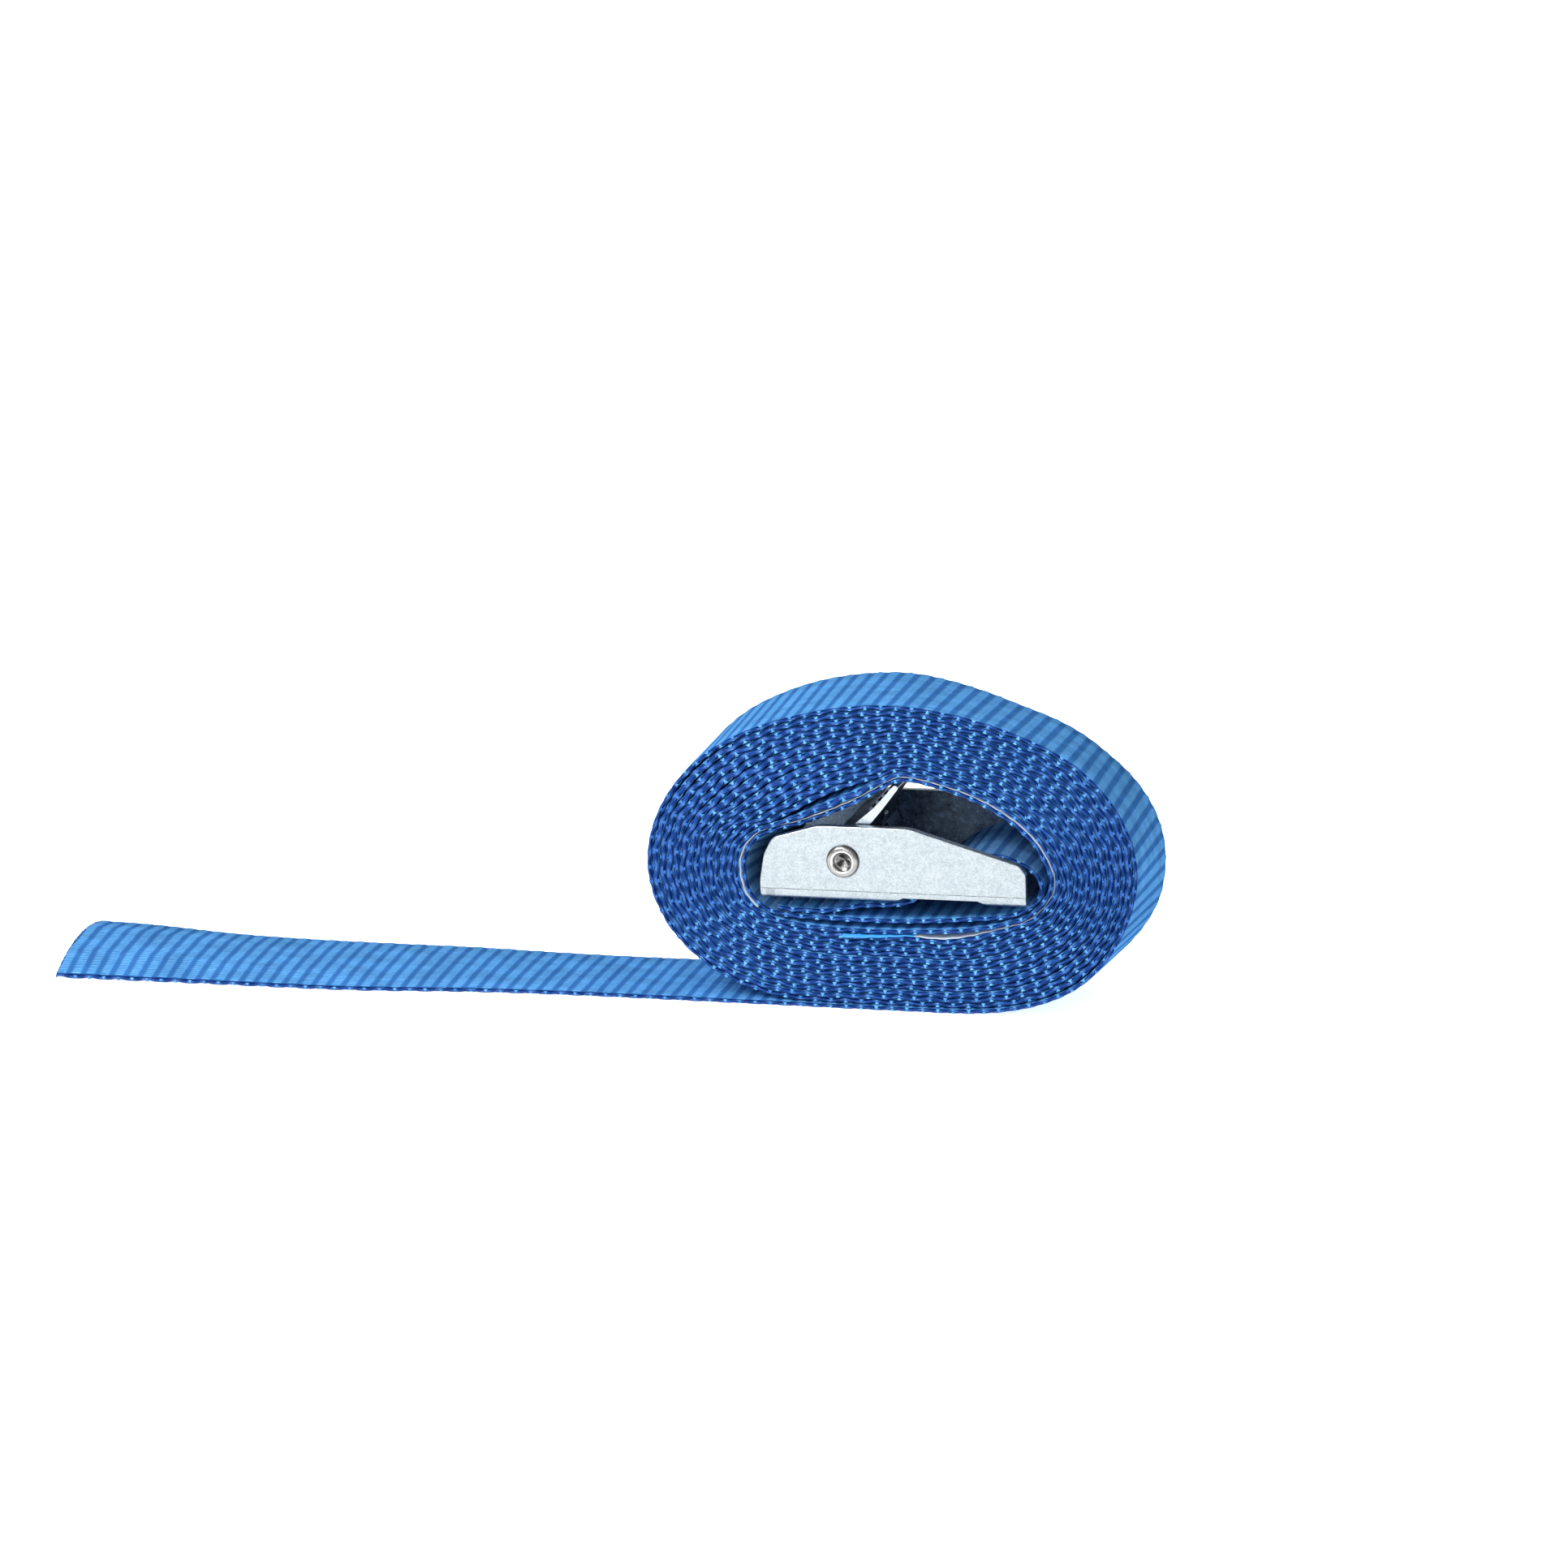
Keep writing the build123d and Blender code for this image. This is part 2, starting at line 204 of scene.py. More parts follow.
def wound_turns():
    """The turns outside the first one, from the first turn's end to the floor under the roll.

    Each turn stands one ply outside the last, between the first turn and the roll's outline.
    """
    first_angle, first_radius = polar(smooth_line(FIRST_TURN_ROUTE, STEP))
    first_angle[-1] = 360.0
    outline = smooth_line([(x, z) for x, z, _ in ROLL_OUTLINE], STEP)
    outline = outline + headings(outline)[1] * HALF_THICK
    outer_angle, outer_radius = polar(outline)
    touch = (START - bearing(TAIL_TOUCH, 0.0)) % 360

    def outermost(angle):
        """The outline's distance from the centre, straight along the floor under the roll."""
        from_below = (START - angle + 270) % 360 - 180
        floor = (ROLL_CENTRE[1] - HALF_THICK) / np.cos(np.radians(from_below))
        on_floor = (angle < touch) & (abs(from_below) < 40)
        order = np.argsort(outer_angle)
        curve = np.interp(angle, outer_angle[order], outer_radius[order], period=360)
        x = ROLL_CENTRE[0] + curve * np.cos(np.radians(START - angle))
        return np.where(on_floor & (x < FLAT_UNDERSIDE), floor, curve)

    def extra(angle, turn):
        """The room taken by the label and by the two gaps."""
        label_room = LABEL_GAP * ramp(turn, 1.0, 1.04)
        upper = UPPER_OPENS * hump(angle, *UPPER_GAP) * ramp(turn, *UPPER_GAP_TURNS)
        lower = LOWER_OPENS * hump(angle, *LOWER_GAP) * ramp(turn, *LOWER_GAP_TURNS)
        return label_room + upper + lower

    last = TURNS + first_angle / 360 - (first_angle > touch)
    room = outermost(first_angle) - first_radius - extra(first_angle, last)
    pitch = room / (last - first_angle / 360)
    inner = first_radius - pitch * first_angle / 360
    order = np.argsort(first_angle)
    degrees_apart = 0.4
    turned = np.arange(360.0, TURNS * 360 + touch, degrees_apart)
    angle = turned % 360
    turn = turned / 360
    spacing = np.interp(angle, first_angle[order], pitch[order], period=360)
    radius = np.interp(angle, first_angle[order], inner[order], period=360)
    # The plies wander in the room that a loose stretch leaves them
    loose = np.clip(spacing - 1.05, 0, 0.3) * 0.35
    unevenness = loose * np.sin(np.radians(turned * 1.37) + 2 * np.sin(np.radians(turned * 0.71)))
    radius = radius + spacing * turn + extra(angle, turn) + unevenness
    direction = np.radians(START - turned)
    return ROLL_CENTRE + radius[:, None] * np.stack([np.cos(direction), np.sin(direction)], axis=1)


def strap_route():
    """The middle line of the whole strap, from its sewn end to its free end."""
    anchor = smooth_line(ANCHOR_ROUTE + FIRST_TURN_ROUTE[1:], STEP)
    turns = wound_turns()
    floor = np.array([(TAIL_TOUCH - 1, HALF_THICK), (TAIL_LEFT + 0.3, HALF_THICK)])
    route = even_line(np.concatenate([anchor, turns[2:], floor]), STEP)
    return softened(route, 6)


ROUTE = strap_route()
TANGENT, NORMAL = headings(ROUTE)
ALONG = np.arange(len(ROUTE)) * STEP
LENGTH = ALONG[-1]
TAIL = (ALONG > LENGTH - (TAIL_TOUCH - TAIL_LEFT)) & (ROUTE[:, 1] < 1.0)
# The plies stand a little unevenly, as the webbing wanders to and fro across its width
SIDE_SHIFT = 0.16 * np.sin(ALONG / 61.0) + 0.10 * np.sin(ALONG / 23.0 + 1.3)
SIDE_SHIFT *= ramp(LENGTH - ALONG, 0, 60)


def skew(line, normal, turned):
    """How far the strap's back edge stands out from its front edge, along a line in the roll.

    turned is how far each point is wound round the roll, in degrees. The back edges nearly close
    the two gaps, and the inner turns lean inwards over the buckle's left end.
    """
    arm = line - ROLL_CENTRE
    angle, distance = polar(line)
    outline = np.array(ROLL_OUTLINE[1:-1])
    places = polar(outline[:, :2])[0]
    order = np.argsort(places)
    out = smoothed(np.interp(angle, places[order], outline[order, 2], period=360), 12)
    facing = np.sum(arm * normal, axis=1) / distance
    turn = turned / 360
    share = ramp(turned, 30, 120) * (0.55 + 0.45 * turn / (TURNS + 1))
    closed = UPPER_CLOSES * hump(angle, *UPPER_GAP) * ramp(turn, *UPPER_GAP_TURNS)
    closed += LOWER_CLOSES * hump(angle, *LOWER_GAP) * ramp(turn, *LOWER_GAP_TURNS)
    closed += LEAN * hump(angle, *INWARD_LEAN) * (1 - ramp(turn, 0.6, 3.6))
    fading = np.clip(1 - (turn - 1.7) / (TURNS - 2), 0, 1)
    return out * facing * share - closed * fading


def degrees_wound():
    """How far each station is wound round the roll's centre; 0 up to the end of the anchor loop."""
    first = np.argmin(np.linalg.norm(ROUTE[:900] - np.array(FIRST_TURN_ROUTE[0]), axis=1))
    arm = ROUTE - ROLL_CENTRE
    angle = -np.degrees(np.unwrap(np.arctan2(arm[:, 1], arm[:, 0])))
    return np.where(np.arange(len(ROUTE)) > first, angle - angle[first], 0)


def fullness():
    """How much each station's webbing fills out where the turns lie loosely; 1 where tight."""
    wound = degrees_wound()
    inside = (wound > 0) & ~TAIL
    arm = ROUTE - ROLL_CENTRE
    distance = np.linalg.norm(arm, axis=1)
    further = np.interp(wound + 360, wound[inside], distance[inside])
    facing = abs(np.sum(arm * NORMAL, axis=1)) / distance
    room = np.where(inside & (wound + 360 < wound[inside].max()), (further - distance) * facing, 0)
    past_label = ramp(wound, 380, 420)
    share = np.clip(room / SNUG_ROOM, 1.0, FULLEST) * past_label + 1 - past_label
    return smoothed(share, 20)


def tail_curve(column):
    """A smooth curve through one column of the tail's sections, at each station."""
    line = smooth_line([(row[0], row[column]) for row in TAIL_SECTIONS], 1.0)
    return np.interp(ROUTE[:, 0], line[:, 0], line[:, 1]) * TAIL


BACK_OUT = skew(ROUTE, NORMAL, degrees_wound()) * ~TAIL
FULL = fullness()
TAIL_BOW, TAIL_RISE, TAIL_CAMBER = (tail_curve(column) for column in (1, 2, 3))


def on_strap(i, across, off):
    """A point on the strap in metres: at station i, across its width and off its middle, in mm."""
    back = across / WEB_WIDTH + 0.5
    flat = ROUTE[i] + NORMAL[i] * (off + BACK_OUT[i] * back)[..., None]
    rise = TAIL_RISE[i] * back + TAIL_CAMBER[i] * np.clip(4 * back * (1 - back), 0, 1)
    side = across + SIDE_SHIFT[i] + TAIL_BOW[i]
    return np.stack([flat[..., 0], side, flat[..., 1] + rise], axis=-1) * MM


# ---------------------------------------------------------------- meshes
def new_mesh(name, vertices, faces, layers=None, smooth=True):
    """A mesh object from arrays, with UV layers given as one coordinate pair per vertex."""
    mesh = bpy.data.meshes.new(name)
    mesh.from_pydata(vertices.tolist(), [], faces)
    for title, pairs in (layers or {}).items():
        layer = mesh.uv_layers.new(name=title)
        corner = np.empty(len(mesh.loops), dtype=np.int32)
        mesh.loops.foreach_get("vertex_index", corner)
        layer.data.foreach_set("uv", pairs[corner].astype(np.float32).ravel())
    mesh.polygons.foreach_set("use_smooth", np.full(len(mesh.polygons), smooth))
    mesh.update()
    piece = bpy.data.objects.new(name, mesh)
    bpy.context.scene.collection.objects.link(piece)
    return piece


def ring_faces(rings, size):
    """Quads between successive rings of points, and a cap at each end."""
    first = np.arange(rings - 1)[:, None] * size + np.arange(size)
    after = np.arange(rings - 1)[:, None] * size + (np.arange(size) + 1) % size
    quads = np.stack([first, after, after + size, first + size], axis=-1).reshape(-1, 4)
    caps = [list(range(size))[::-1], [(rings - 1) * size + k for k in range(size)]]
    return quads.tolist() + caps


def rib_height():
    """Half thickness of the webbing at each station, with broad crests and narrow grooves."""
    crest = (0.5 + 0.5 * np.cos(2 * math.pi * ALONG / RIB_PITCH)) ** 0.6
    return GROOVE_HALF + (CREST_HALF - GROOVE_HALF) * crest


def webbing_body():
    """The ribbed band from one end of the strap to the other."""
    height = rib_height()
    thick = height * FULL
    crest = (height - GROOVE_HALF) / (CREST_HALF - GROOVE_HALF)
    edge = WEB_WIDTH / 2 - 0.22 - 0.12 * crest
    section = [
        (-1.0, 0.5), (-0.97, 1.0), (-0.42, 1.0), (0.42, 1.0), (0.97, 1.0), (1.0, 0.5),
        (1.0, -0.5), (0.97, -1.0), (0.42, -1.0), (-0.42, -1.0), (-0.97, -1.0), (-1.0, -0.5),
    ]
    stations = np.arange(len(ROUTE))
    points, weave = [], []
    for across, off in section:
        points.append(on_strap(stations, across * edge, off * thick))
        weave.append(np.stack([ALONG / RIB_PITCH, across * edge], axis=1))
    points, weave = np.stack(points, axis=1), np.stack(weave, axis=1)
    faces = ring_faces(len(ROUTE), len(section))
    return new_mesh("webbing", points.reshape(-1, 3), faces, {"weave": weave.reshape(-1, 2)})


def edge_cord(side, name):
    """The warp cord along one edge, which zigzags between the weft's loops."""
    stations = np.arange(len(ROUTE))
    phase = math.pi * ALONG / RIB_PITCH
    sides = 6
    half_wide, half_high, zigzag, pinch = 0.22, 0.27, 0.15, 0.05
    middle = WEB_WIDTH / 2 - 0.24
    rings = []
    for k in range(sides):
        turn = 2 * math.pi * k / sides * side
        out = middle + half_wide * math.cos(turn) + pinch * np.cos(2 * phase + math.pi)
        off = (zigzag * np.cos(phase) + half_high * math.sin(turn)) * FULL**2
        rings.append(on_strap(stations, side * out, off))
    points = np.stack(rings, axis=1).reshape(-1, 3)
    inward = 1 - abs(2 * np.arange(sides) / sides - 1)
    uv = np.stack([np.repeat(ALONG / RIB_PITCH, sides), np.tile(inward, len(ROUTE))], axis=1)
    return new_mesh(name, points, ring_faces(len(ROUTE), sides), {"weave": uv})


# Outlines of the weft's loops as seen on the edge, along the strap and across its thickness
LOOP_TEE = [
    (-0.44, 0.38), (-0.24, 0.49), (0.0, 0.52), (0.24, 0.49), (0.44, 0.38), (0.30, 0.22),
    (0.18, 0.02), (0.15, -0.38), (-0.15, -0.38), (-0.18, 0.02), (-0.30, 0.22),
]
LOOP_WEDGE = [
    (0.0, 0.10), (0.17, -0.04), (0.30, -0.22), (0.44, -0.40), (0.26, -0.50), (-0.26, -0.50),
    (-0.44, -0.40), (-0.30, -0.22), (-0.17, -0.04),
]
LOOP_DASH = [(-0.36, 0.42), (0.0, 0.52), (0.36, 0.42), (0.32, 0.30), (0.0, 0.27), (-0.32, 0.30)]
# A loop bulges in three rings, each with its share of the outline's size and how far out it stands
LOOP_BULGE = ((1.0, -0.12), (0.75, 0.02), (0.35, 0.05))


def edge_loops(side, name):
    """The weft's small bright loops over one edge: a tee, then a wedge under a dash, by turns."""
    points, faces, lie = [], [], []
    half = WEB_WIDTH / 2 - 0.05
    ribs = int(LENGTH / RIB_PITCH)
    for rib in range(1, ribs):
        shapes = [LOOP_TEE] if rib % 2 == 0 else [LOOP_WEDGE, LOOP_DASH]
        wobble = 0.06 * math.sin(rib * 2.3 + side)
        for shape in shapes:
            outline = np.array(shape)
            middle = outline.mean(axis=0)
            start = sum(len(p) for p in points)
            count = len(outline)
            for shrink, out in LOOP_BULGE:
                spots = middle + (outline - middle) * shrink
                place = (rib * RIB_PITCH + wobble + spots[:, 0]) / STEP
                i = np.clip(np.round(place).astype(int), 0, len(ROUTE) - 1)
                off = -(0.8 * FULL[i] - 0.25 * TAIL[i]) * spots[:, 1]
                tip = on_strap(i, side * (half + out), off)
                slip = (place - i) * STEP * MM
                tip[:, 0] += TANGENT[i, 0] * slip
                tip[:, 2] += TANGENT[i, 1] * slip
                points.append(tip)
                # how level the strap lies here, which sets the loops' painted sheen
                lie.append(np.stack([abs(TANGENT[i, 0]), 0 * place], axis=1))
            for ring in range(2):
                for k in range(count):
                    a = start + ring * count + k
                    b = start + ring * count + (k + 1) % count
                    quad = [a, b, b + count, a + count]
                    faces.append(quad if side < 0 else quad[::-1])
            cap = [start + 2 * count + k for k in range(count)]
            faces.append(cap if side < 0 else cap[::-1])
    return new_mesh(name, np.concatenate(points), faces, {"lie": np.concatenate(lie)})


def melted_end():
    """The bead where the free end was cut with a hot knife."""
    rows, sides = 60, 10
    last = len(ROUTE) - 1
    width = WEB_WIDTH - 0.1
    rings = []
    for row in range(rows):
        across = (row / (rows - 1) - 0.5) * width
        swell = 0.46 + 0.05 * math.sin(row * 1.9) + 0.04 * math.sin(row * 0.73 + 2)
        if row in (0, rows - 1):
            swell *= 0.55
        turn = 2 * math.pi * np.arange(sides) / sides
        ring = on_strap(np.full(sides, last), np.full(sides, across), swell * np.sin(turn))
        ring[:, 0] -= (0.10 + 0.34 * swell * np.cos(turn)) * MM
        rings.append(ring)
    return new_mesh("melted_end", np.concatenate(rings), ring_faces(rows, sides))


def label():
    """The thin label tape that lies on the outside of the first turn, and its length."""
    line = even_line(smooth_line(FIRST_TURN_ROUTE, STEP), LABEL_STEP)
    line = line[: int(len(line) * LABEL_SHARE)]
    place = np.arange(len(line)) * LABEL_STEP
    normal = headings(line)[1]
    angle = polar(line)[0]
    ripple = 0.05 * np.sin(np.arange(len(line)) * 1.06)
    away = HALF_THICK + 0.08 + ripple
    bulge = 0.88 * hump(angle, *LABEL_BULGE)
    lean = skew(line, normal, angle) - 0.9 * bulge
    half_width = 12.36
    length = len(line) * LABEL_STEP
    stray = 2.0 * ramp(place, length - 20, length)
    section = [
        (-1, 0.02), (-0.5, 0.03), (0.5, 0.03), (1, 0.02),
        (1, -0.02), (0.5, -0.03), (-0.5, -0.03), (-1, -0.02),
    ]
    points, uv = [], []
    for across, off in section:
        out = away + off + bulge - 0.12 * across * stray + lean * (across + 1) / 2
        spot = line + normal * out[:, None]
        points.append(np.stack([spot[:, 0], across * half_width - stray, spot[:, 1]], axis=1) * MM)
        uv.append(np.stack([place[-1] - place, np.full(len(line), across * half_width)], axis=1))
    points = np.stack(points, axis=1).reshape(-1, 3)
    uv = np.stack(uv, axis=1).reshape(-1, 2)
    piece = new_mesh("label", points, ring_faces(len(line), len(section)), {"weave": uv})
    return piece, place[-1]


def tube(points, radius, sides, closed=False):
    """Vertices and faces of a round tube along points in mm."""
    points = np.asarray(points, float)
    ahead = np.roll(points, -1, axis=0) - np.roll(points, 1, axis=0)
    if not closed:
        ahead = np.gradient(points, axis=0)
    ahead /= np.linalg.norm(ahead, axis=1)[:, None]
    up = np.cross(ahead[0], (0.3, 0.9, 0.1))
    rings = []
    for spot, forward in zip(points, ahead):
        up = up - forward * np.dot(up, forward)
        up /= np.linalg.norm(up)
        beside = np.cross(forward, up)
        turn = 2 * math.pi * np.arange(sides) / sides
        rings.append(spot + radius * (np.cos(turn)[:, None] * up + np.sin(turn)[:, None] * beside))
    faces = ring_faces(len(points), sides)
    if closed:
        last = (len(points) - 1) * sides
        faces = faces[:-2] + [
            [last + k, last + (k + 1) % sides, (k + 1) % sides, k] for k in range(sides)
        ]
    return np.concatenate(rings), faces


def joined(name, tubes):
    """One mesh object from several tubes."""
    points, faces, start = [], [], 0
    for spots, quads in tubes:
        points.append(spots)
        faces += [[start + k for k in face] for face in quads]
        start += len(spots)
    return new_mesh(name, np.concatenate(points) * MM, faces)


def seam_stitches():
    """Rows of thread loops through both plies of the anchor loop's seam."""
    anchor = smooth_line(ANCHOR_ROUTE, 0.3)
    upper = anchor[: len(anchor) // 3]
    lower = anchor[2 * len(anchor) // 3:][::-1]
    turn = np.linspace(0, 2 * math.pi, 28, endpoint=False)
    stitch_pitch, thread_radius = 3.3, 0.19
    proud = CREST_HALF + 0.02
    loops = []
    for x in (40.0, 43.0, 46.0, 49.0):
        top = np.interp(x, upper[:, 0], upper[:, 1]) + proud
        bottom = np.interp(x, lower[:, 0], lower[:, 1]) - proud
        middle, half = (top + bottom) / 2, (top - bottom) / 2
        for y in np.arange(-3, 4) * stitch_pitch:
            across = 1.3 * np.sign(np.cos(turn)) * abs(np.cos(turn)) ** 0.45
            height = half * np.sign(np.sin(turn)) * abs(np.sin(turn)) ** 0.45
            path = np.stack([x + 0.25 * np.sin(turn), y + across, middle + height], axis=1)
            loops.append(tube(path, thread_radius, 8, closed=True))
    return joined("seam_stitches", loops)


def pivot_point():
    """The lever's pivot in mm."""
    return np.array(frame["joints"][0]["pos_m"]) / MM


def spring_wire():
    """The torsion spring: a leg on the base, the coils, and a leg under the thumb plate."""
    radius, pitch, turns = 3.25, 1.15, 4
    wire_radius = 0.5
    base_angle, lever_angle = 200.0, 73.0
    sweep = turns * 360 + lever_angle - (base_angle - 180)
    height = pitch * sweep / 360
    count = 260
    angle = np.radians(np.linspace(base_angle - 270, base_angle - 270 + sweep, count))
    rise = np.linspace(height / 2, -height / 2, count)
    coil = np.stack([radius * np.cos(angle), rise, radius * np.sin(angle)], axis=1)
    slope = np.array([0.0, -pitch / (2 * math.pi * radius), 0.0])
    back, ahead = np.radians(base_angle), np.radians(lever_angle)
    foot = np.array([math.cos(back), 0, math.sin(back)]) - slope
    toe = np.array([math.cos(ahead), 0, math.sin(ahead)]) + slope
    base_leg = coil[0] + foot * np.linspace(7.6, 0.2, 16)[:, None]
    lever_leg = coil[-1] + toe * np.linspace(0.2, 8.0, 16)[:, None]
    path = np.concatenate([base_leg, coil, lever_leg]) + pivot_point()
    return joined("spring_wire", [tube(path, wire_radius, 14)])


# ---------------------------------------------------------------- materials
class Shader:
    """A material's node tree, with short ways to add nodes."""

    def __init__(self, name, **sockets):
        self.material = bpy.data.materials.new(name)
        self.material.use_nodes = True
        self.tree = self.material.node_tree
        self.surface = self.tree.nodes["Principled BSDF"]
        for socket, value in sockets.items():
            self.surface.inputs[socket.replace("_", " ")].default_value = value

    def node(self, kind, *values, out=0, **settings):
        """Adds a node. values fill its inputs in order, as numbers or as other nodes' outputs."""
        made = self.tree.nodes.new("ShaderNode" + kind)
        for name, value in settings.items():
            if name in made.inputs:
                self.fill(made.inputs[name], value)
            else:
                setattr(made, name, value)
        for socket, value in zip(made.inputs, values):
            self.fill(socket, value)
        return made.outputs[out]

    def fill(self, socket, value):
        """Sets an input to a number, or links it to another node's output."""
        if value is None:
            return
        if isinstance(value, bpy.types.NodeSocket):
            self.tree.links.new(value, socket)
        else:
            socket.default_value = value

    def math(self, operation, *values):
        """One arithmetic step on numbers or outputs."""
        return self.node("Math", *values, operation=operation)

    def steps(self, value, low, high, to_low=0.0, to_high=1.0):
        """A smooth change from to_low to to_high, as the value goes from low to high."""
        ends = (low, high, to_low, to_high)
        return self.node("MapRange", value, *ends, interpolation_type="SMOOTHSTEP")

    def mix(self, share, first, second, blend="MIX"):
        """The first colour with a share of the second one over it."""
        made = self.tree.nodes.new("ShaderNodeMix")
        made.data_type = "RGBA"
        made.blend_type = blend
        self.fill(made.inputs["Factor"], share)
        self.fill(made.inputs[6], first)
        self.fill(made.inputs[7], second)
        return made.outputs[2]

    def tones(self, value, stops):
        """Greys between the given places from 0 to 1."""
        ramp_node = self.tree.nodes.new("ShaderNodeValToRGB")
        self.fill(ramp_node.inputs["Fac"], value)
        elements = ramp_node.color_ramp.elements
        while len(elements) < len(stops):
            elements.new(0.5)
        for element, (place, tone) in zip(elements, stops):
            element.position = place
            element.color = rgb(tone, tone, tone)
        return ramp_node.outputs["Color"]

    def noise(self, where, scale, detail=3.0, roughness=0.55):
        """Soft random values from 0 to 1."""
        return self.node("TexNoise", where, Scale=scale, Detail=detail, Roughness=roughness)

    def place(self, scale):
        """Object coordinates, in units of the given length in metres."""
        where = self.node("TexCoord", out=3)
        return self.node("Mapping", where, Scale=(1 / scale[0], 1 / scale[1], 1 / scale[2]))

    def colour(self, socket):
        """Takes the surface's colour from a node."""
        self.tree.links.new(socket, self.surface.inputs["Base Color"])

    def rough(self, socket):
        """Takes the surface's roughness from a node."""
        self.tree.links.new(socket, self.surface.inputs["Roughness"])

    def bump(self, height, distance, strength=1.0):
        """Raises the surface by a node's height, times a distance in metres."""
        normal = self.node("Bump", Strength=strength, Distance=distance, Height=height)
        self.tree.links.new(normal, self.surface.inputs["Normal"])


def rgb(red, green, blue):
    """An opaque colour."""
    return (red, green, blue, 1.0)


# Stretches painted darker as shade where they lie in and against the buckle, as their middle and half
# their length, in ribs
BUCKLE_SHADE = [(14.0, 5.0), (40.0, 3.0)]


def webbing_material():
    """Ribbed polyester: bright crests, grooves painted darker as shade, and fine warp strokes along the
    strap; the stretches in the buckle are painted darker as shade too.
    """
    look = Shader("webbing_blue", Specular_IOR_Level=0.0)
    uv = look.node("UVMap", uv_map="weave")
    along, across = look.node("SeparateXYZ", uv), look.node("SeparateXYZ", uv, out=1)
    wander = look.noise(look.node("VectorMath", uv, (0.9, 0.5, 1.0), operation="MULTIPLY"), 1.0)
    shifted = look.math("ADD", along, look.math("MULTIPLY", look.math("SUBTRACT", wander, 0.5), 0.12))
    wave = look.math("COSINE", look.math("MULTIPLY", shifted, 2 * math.pi))
    crest = look.steps(wave, -0.85, -0.25)
    fine = look.noise(look.node("VectorMath", uv, (2.2, 2.9, 1.0), operation="MULTIPLY"), 1.0, 4.0, 0.7)
    rib = look.math("FLOOR", look.math("ADD", shifted, 0.5))
    lean = look.math("ADD", look.math("MULTIPLY", rib, 1.3), look.math("MULTIPLY", shifted, 0.9))
    slip = look.math("ADD", look.math("MULTIPLY", look.math("SUBTRACT", fine, 0.5), 5.0), lean)
    strand_pitch = 0.50
    strand = look.math("MULTIPLY", across, 2 * math.pi / strand_pitch)
    stroke = look.math("SINE", look.math("ADD", strand, slip))
    stroke = look.math("MULTIPLY", look.math("ADD", stroke, 1.0), 0.5)
    lit = look.math("MULTIPLY", look.steps(stroke, 0.35, 0.95), look.steps(wave, -0.45, 0.1))
    # painted shade: the grooves between the ribs get the darker colour, the crests the lighter one
    base = look.mix(crest, rgb(0.028, 0.116, 0.325), rgb(0.043, 0.166, 0.405))
    base = look.mix(look.math("MULTIPLY", lit, 0.8), base, rgb(0.130, 0.370, 0.690))
    cloud = look.noise(look.node("VectorMath", uv, (0.35, 0.25, 1.0), operation="MULTIPLY"), 1.0)
    shade = look.steps(cloud, 0.3, 0.7, 0.86, 1.12)
    base = look.mix(1.0, base, look.node("CombineXYZ", shade, shade, shade), "MULTIPLY")
    # painted shade: the stretches in the buckle are coloured duller and darker
    for middle, half in BUCKLE_SHADE:
        away = look.math("ABSOLUTE", look.math("SUBTRACT", along, middle))
        shade_and_wear_dimmed = look.steps(away, half, half + 2.0, 1.0, 0.0)
        base = look.mix(shade_and_wear_dimmed, base, rgb(0.80, 0.62, 0.57), "MULTIPLY")
    rim = look.steps(look.math("ABSOLUTE", across), 11.85, 12.15)
    look.colour(look.mix(rim, base, rgb(0.001, 0.012, 0.085)))
    height = look.math("ADD", look.math("MULTIPLY", stroke, 0.05), look.math("MULTIPLY", fine, 0.06))
    look.bump(look.math("ADD", height, look.math("MULTIPLY", look.steps(wave, -0.9, 0.5), 0.2)), 0.001)
    look.rough(look.steps(fine, 0.3, 0.7, 0.40, 0.56))
    return look.material


def cord_material():
    """The selvage's dark warp cords, with a painted violet sheen along their twisted filaments and a
    painted highlight streak on their outward side between the loops.
    """
    look = Shader("selvage_cord", Specular_IOR_Level=0.03)
    uv = look.node("UVMap", uv_map="weave")
    along, inward = look.node("SeparateXYZ", uv), look.node("SeparateXYZ", uv, out=1)
    twist = look.math("ADD", look.math("MULTIPLY", inward, 4.5), look.math("MULTIPLY", along, 1.3))
    filament = look.math("SINE", look.math("MULTIPLY", twist, 2 * math.pi))
    cloud = look.noise(look.node("VectorMath", uv, (1.1, 2.0, 1.0), operation="MULTIPLY"), 1.0)
    base = look.mix(look.steps(cloud, 0.3, 0.7), rgb(0.001, 0.014, 0.095), rgb(0.008, 0.042, 0.210))
    # painted sheen: lighter stripes along the twisted filaments
    base = look.mix(look.steps(filament, 0.2, 1.0, 0.0, 0.35), base, rgb(0.045, 0.120, 0.340))
    # painted highlight: a lighter streak on the cord's outward side, midway between the loops
    between = look.math("COSINE", look.math("MULTIPLY", look.math("ADD", along, cloud), 2 * math.pi))
    outer = look.steps(inward, 0.08, 0.42, 0.55, 0.0)
    highlight_streak = look.math("MULTIPLY", look.steps(between, 0.5, -0.7), outer)
    look.colour(look.mix(highlight_streak, base, rgb(0.065, 0.165, 0.430)))
    look.rough(look.steps(cloud, 0.3, 0.7, 0.31, 0.41))
    look.bump(filament, 0.00003, 0.7)
    return look.material


